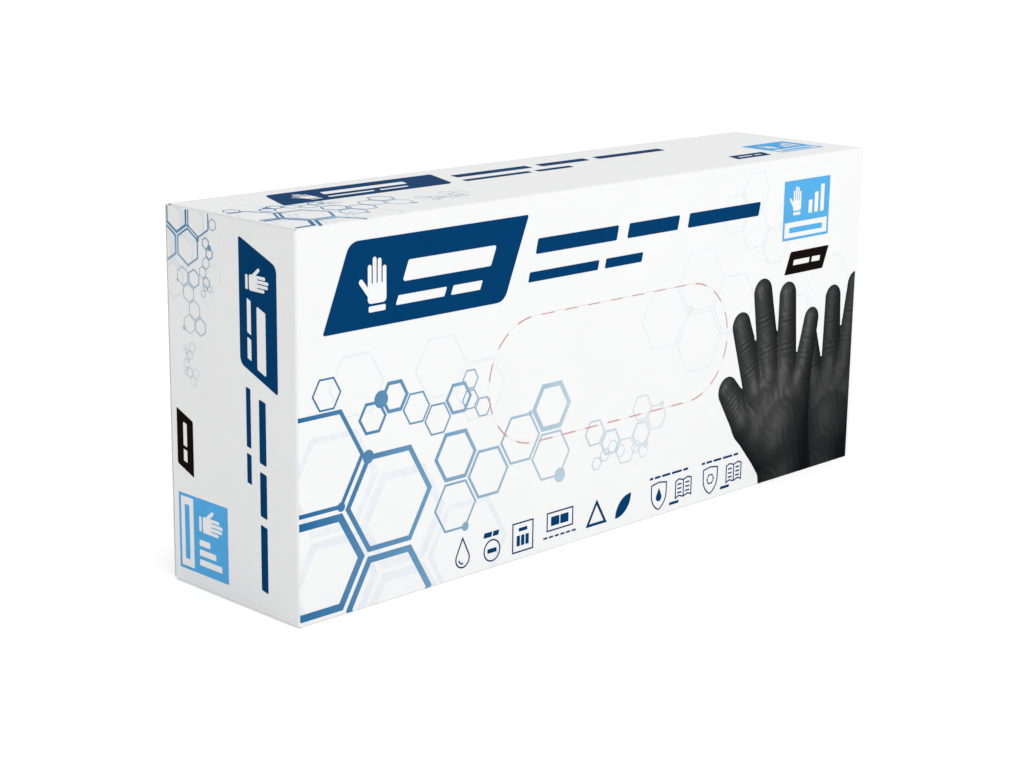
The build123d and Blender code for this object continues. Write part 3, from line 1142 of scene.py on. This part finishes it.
def glove(index):
    """One glove's closed film, lying on all the gloves behind it."""
    step = FINE_STEP if index >= GLOVES - FINE_GLOVES else PLAIN_STEP
    us = np.concatenate([CUFF_ROWS, np.arange(CUFF_ROWS[-1] + step, GLOVE_LENGTH + 1, step)])
    vs = np.arange(-1.0, GLOVE_WIDTH, step)
    u, v, shapes = cut_grid(us, vs, glove_field)
    random = np.random.default_rng(500 + index)
    side = -1 if index % 2 else 1
    up = 1 if index % 4 < 2 else -1
    middle = (GLOVE_LOW.z + GLOVE_HIGH.z) / 2 / MM
    sway, swell, phase = random.uniform(-0.9, 0.9), random.uniform(-0.8, 0.8), random.uniform(0, 2 * pi)
    x = side * (u - GLOVE_LENGTH / 2) + random.uniform(-1.2, 1.2) + swell * np.sin(v / 11 + phase)
    z = middle + up * (v - GLOVE_MIDDLE) * GLOVE_NARROWED + random.uniform(-0.1, 0.8)
    z = z + sway * np.sin(u / 17 + phase)
    depth = -glove_field(u, v)
    bead = CUFF_BEAD * np.exp(-((u - 0.8) / 0.7) ** 2)
    half = FILM_PAIR / 2 * np.sqrt(np.clip(depth / FILM_ROUND, 0.02, 1)) + bead
    y = STACK_BACK - (index + 0.5) * GLOVE_PITCH - lift_of(index, x, z)
    front, back = (np.stack([x, y + off, z], -1) * MM for off in (-half, half))
    if side * up < 0:
        shapes = [tuple(reversed(shape)) for shape in shapes]
    return closed_sheet(front, back, shapes)


def gloves(material):
    each = GLOVES // BUNDLES
    for bundle in range(BUNDLES):
        node = f"glove_bundle_{bundle + 1:02d}"
        sheets = [glove(bundle * each + index) for index in range(each)]
        piece = closed_piece(f"gloves_{bundle + 1:02d}", sheets, material, "sleeve", True)
        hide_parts(node)


# ---- the stage

def camera():
    data = bpy.data.cameras.new("camera")
    data.lens = CAMERA_LENS
    data.clip_start = 0.01
    data.clip_end = 50.0
    place = Matrix.Translation(CAMERA_PLACE)
    for angle, axis in ((CAMERA_AZIMUTH, "Z"), (90 - CAMERA_ELEVATION, "X"), (CAMERA_ROLL, "Z")):
        place @= Matrix.Rotation(radians(angle), 4, axis)
    eye = new_object("camera", data)
    eye.matrix_world = place
    bpy.context.scene.camera = eye


def area_light(name, place, size, power):
    """A round soft light aimed at the middle of the object."""
    data = bpy.data.lights.new(name, "AREA")
    data.shape = "DISK"
    data.size = size
    data.energy = power
    aim = (low + high) / 2 - Vector(place)
    turn = aim.to_track_quat("-Z", "Y").to_matrix()
    new_object(name, data).matrix_world = Matrix.Translation(place) @ turn.to_4x4()


def stage():
    corners = [(x * FLOOR_HALF, y * FLOOR_HALF, 0) for x, y in ((-1, -1), (1, -1), (1, 1), (-1, 1))]
    mesh = bpy.data.meshes.new("floor")
    mesh.from_pydata(corners, [], [(0, 1, 2, 3)])
    mesh.materials.append(floor_material())
    new_object("floor", mesh)
    world = bpy.data.worlds.new("studio")
    world.use_nodes = True
    background = world.node_tree.nodes["Background"]
    background.inputs["Color"].default_value = (1, 1, 1, 1)
    background.inputs["Strength"].default_value = 1.0
    bpy.context.scene.world = world
    bpy.context.scene.view_settings.view_transform = "Standard"
    for light in LIGHTS:
        area_light(*light)


# ---- the object

# The ply's section: how far in from the end face, and how far in from the back.
CREASE_PLY = [
    (0.012, 1.75), (0.0, 1.5), (0.0, 0.8), (0.03, 0.65),
    (0.10, 0.57), (0.20, 0.55), (0.20, 1.2), (0.10, 1.75),
]
PLY_END = 0.6
ENDS = (("left", -1), ("right", 1))


def dress_board():
    """Gives every board node its material, and returns the materials by the way they face."""
    outward = {
        "front_panel": (0, -1, 0), "tear_out_tab": (0, -1, 0), "top_panel": (0, 0, 1),
        "bottom_panel": (0, 0, -1), "back_panel": (0, 1, 0), "glue_flap": (0, 0, -1),
    }
    for side, way in ENDS:
        outward[f"{side}_tuck_flap"] = (0, 1, 0)
        for board in ("closure_panel", "top_dust_flap", "bottom_dust_flap"):
            outward[f"{side}_{board}"] = (way, 0, 0)
    made = {}
    for node, way in outward.items():
        if way not in made:
            made[way] = board_material(f"board_{len(made) + 1}", way)
        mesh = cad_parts[node].data
        mesh.materials.clear()
        mesh.materials.append(made[way])
    return made


def crease_ply(name, side, material):
    """The outer ply of the board along a closure's back crease. It turns more sharply than
    the board under it, and so fills the groove beside the back panel."""
    edge = (high.x if side > 0 else low.x) / MM
    ring = [(edge - side * depth, high.y / MM - behind) for depth, behind in CREASE_PLY]
    heights = (PLY_END, HEIGHT - PLY_END)
    points = np.array([(*point, z) for z in heights for point in ring]) * MM
    count = len(ring)
    shapes = [tuple(range(count)), tuple(reversed(range(count, 2 * count)))]
    shapes += [((k + 1) % count, k, count + k, count + (k + 1) % count) for k in range(count)]
    if side > 0:
        shapes = [tuple(reversed(shape)) for shape in shapes]
    closed_piece(f"{name}_crease_ply", [(points, shapes)], material, f"{name}_closure")


def inks_for_print():
    """The plain inks, and one that fades for each kind of face: which way, where it starts
    and over how many metres."""
    inks = {name: ink_material(f"ink_{name}", (colour, colour)) for name, colour in PLAIN_INKS.items()}
    fades = {
        "front": ((1, 0, 0), low.x, 0.14),
        "back": ((-1, 0, 0), -high.x, 0.14),
        "long": ((1, 0, 0), low.x, 0.08),
        "left": ((0, 0, -1), -high.z - 0.008, 0.054),
        "right": ((0, 0, 1), low.z - 0.008, 0.054),
    }
    for name, (way, start, reach) in fades.items():
        inks[f"cells_{name}"] = ink_material(
            f"ink_cells_{name}", CELL_BLUES, CELL_STOPS, way, start, start + reach)
    return inks


def print_all():
    sides = faces()
    inks = inks_for_print()
    picture = picture_material()
    print_front(sides["front"], inks)
    print_back(sides["back"], inks)
    for name in ("front", "back"):
        print_picture(name, sides[name], picture)
    for name in ("left", "right"):
        print_narrow(name, sides[name], END, inks, name)
    for name in ("top", "bottom"):
        print_narrow(name, sides[name], LONG_SIDE, inks, "long")
    print_under(sides["bottom"], inks)


camera()
stage()
BOARDS = dress_board()
for end_name, end_way in ENDS:
    crease_ply(end_name, end_way, BOARDS[end_way, 0, 0])
print_all()
gloves(film_material())
